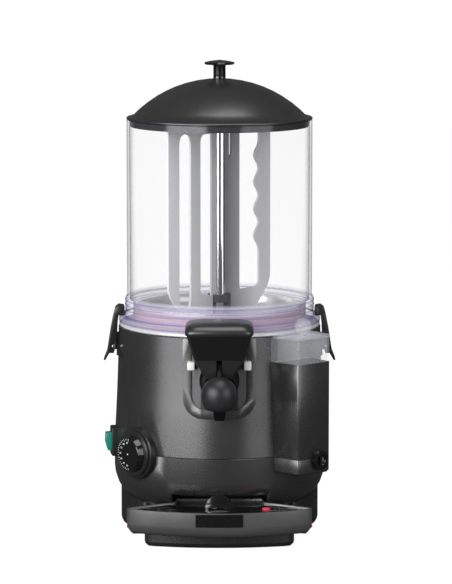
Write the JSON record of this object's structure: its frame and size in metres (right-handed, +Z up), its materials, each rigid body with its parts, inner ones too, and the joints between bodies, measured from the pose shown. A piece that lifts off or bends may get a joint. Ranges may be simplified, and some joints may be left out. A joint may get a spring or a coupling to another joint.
{
  "type": "hot chocolate dispenser machine",
  "caption": "Countertop heated drink dispenser with clear container, stirrer paddle, lever tap, drip tray, dial, switch and side water box.",
  "frame": {"origin": "middle of the footprint of the whole machine, at the level it stands on", "axes": "+Z up, front faces -Y, width along X"},
  "size_m": [0.283, 0.3386, 0.5736],
  "materials": {
    "black_paint": "satin",
    "black_plastic": "satin moulded",
    "black_gloss": "gloss",
    "steel": "polished stainless",
    "brushed_steel": "satin",
    "clear": "clear moulded plastic",
    "red_rubber": "satin silicone",
    "white_plastic": "satin",
    "green_plastic": "translucent gloss"
  },
  "bodies": {
    "base": {"bain_marie_tank": "steel", "body_lower_shell": "black_plastic", "body_upper_shell": "black_plastic", "bowl": "steel", "bowl_shaft_seal": "red_rubber", "bowl_top_ring": "steel", "cable_gland": "black_plastic", "container": "clear", "container_seal": "red_rubber", "dial_boss": "black_plastic", "dial_ring": "black_plastic", "front_foot": "black_plastic", "gearmotor": "steel", "heating_element": "steel", "latch_bracket_left": "black_plastic", "latch_bracket_right": "black_plastic", "lever_pivot_pin": "steel", "motor_bracket": "steel", "pedestal_base": "black_plastic", "rear_vent_panel": "steel", "rubber_foot_front_left": "red_rubber", "rubber_foot_front_right": "red_rubber", "rubber_foot_rear_left": "red_rubber", "rubber_foot_rear_right": "red_rubber", "switch_housing": "black_plastic", "tap_clip_left": "white_plastic", "tap_clip_right": "white_plastic", "tap_escutcheon": "black_plastic", "tap_face_plate": "black_gloss", "tap_hood": "black_plastic", "tap_mount_plate": "black_plastic", "tap_nozzle": "steel", "tap_spring": "steel", "tap_valve_body": "black_gloss", "thermostat": "steel", "water_box": "black_plastic", "water_box_sump": "black_plastic", "water_box_window": "clear"},
    "lid": {"lid_dome": "black_paint", "lid_skirt_ring": "steel", "lid_knob": "black_gloss"},
    "stirrer": {"stirrer_plate": "brushed_steel", "stirrer_tube": "steel", "stirrer_hub": "black_plastic", "drive_shaft": "steel"},
    "tap_handle": {"tap_lever": "steel", "tap_lever_knob": "black_gloss", "lever_link_pin": "steel"},
    "plunger": {"tap_plunger": "black_gloss", "tap_plunger_seal": "red_rubber"},
    "dial": {"dial_knob": "black_gloss"},
    "rocker": {"switch_rocker": "green_plastic"},
    "box_lid": {"water_box_lid": "clear"},
    "cap": {"drain_cap": "black_gloss"},
    "latch_left": {"latch_lever_left": "black_plastic"},
    "latch_right": {"latch_lever_right": "black_plastic"},
    "tray": {"drip_tray": "black_plastic", "tray_front_plate": "black_gloss"},
    "grille": {"drip_grille": "black_gloss"},
    "float": {"tray_float": "red_rubber"}
  },
  "joints": [
    {"name": "lid_lift", "type": "slide", "parent": "base", "child": "lid", "axis": [0, 0, 1], "range_m": [0, 0.12]},
    {"name": "stirrer_spin", "type": "hinge", "parent": "base", "child": "stirrer", "pos_m": [0, 0.0216, 0.3], "axis": [0, 0, 1], "continuous": true},
    {"name": "tap_lever_pull", "type": "hinge", "parent": "base", "child": "tap_handle", "pos_m": [0, -0.1109, 0.24], "axis": [-1, 0, 0], "range_deg": [0, 20], "stiffness_Nm_per_rad": 0.5},
    {"name": "tap_plunger_lift", "type": "slide", "parent": "base", "child": "plunger", "axis": [0, 0, 1], "range_m": [0, 0.0046], "deforming": ["tap_spring"]},
    {"name": "dial_turn", "type": "hinge", "parent": "base", "child": "dial", "pos_m": [0, 0.0216, 0.1055], "axis": [-0.766, -0.6428, 0], "range_deg": [-270, 0]},
    {"name": "switch_rock", "type": "hinge", "parent": "base", "child": "rocker", "pos_m": [-0.1322, 0.00302, 0.1095], "axis": [-0.1392, 0.9903, 0], "range_deg": [0, 12]},
    {"name": "water_lid_lift", "type": "slide", "parent": "base", "child": "box_lid", "axis": [0, 0, 1], "range_m": [0, 0.03]},
    {"name": "drain_cap_turn", "type": "hinge", "parent": "base", "child": "cap", "pos_m": [0.00508, 0.02642, 0.103], "axis": [0.6884, -0.7254, 0], "range_deg": [0, 90]},
    {"name": "latch_left_open", "type": "hinge", "parent": "base", "child": "latch_left", "pos_m": [-0.129, 0.0216, 0.2245], "axis": [0, -1, 0], "range_deg": [0, 22]},
    {"name": "latch_right_open", "type": "hinge", "parent": "base", "child": "latch_right", "pos_m": [0.129, 0.0216, 0.2245], "axis": [0, 1, 0], "range_deg": [0, 22]},
    {"name": "tray_pull", "type": "slide", "parent": "base", "child": "tray", "axis": [0, -1, 0], "range_m": [0, 0.1]},
    {"name": "grille_lift", "type": "slide", "parent": "tray", "child": "grille", "axis": [0, 0, 1], "range_m": [0, 0.03]},
    {"name": "float_rise", "type": "slide", "parent": "grille", "child": "float", "axis": [0, 0, 1], "range_m": [0, 0.008]}
  ],
  "couplings": [
    {"joint": "tap_plunger_lift", "follows": "tap_lever_pull", "m_per_rad": 0.013}
  ]
}
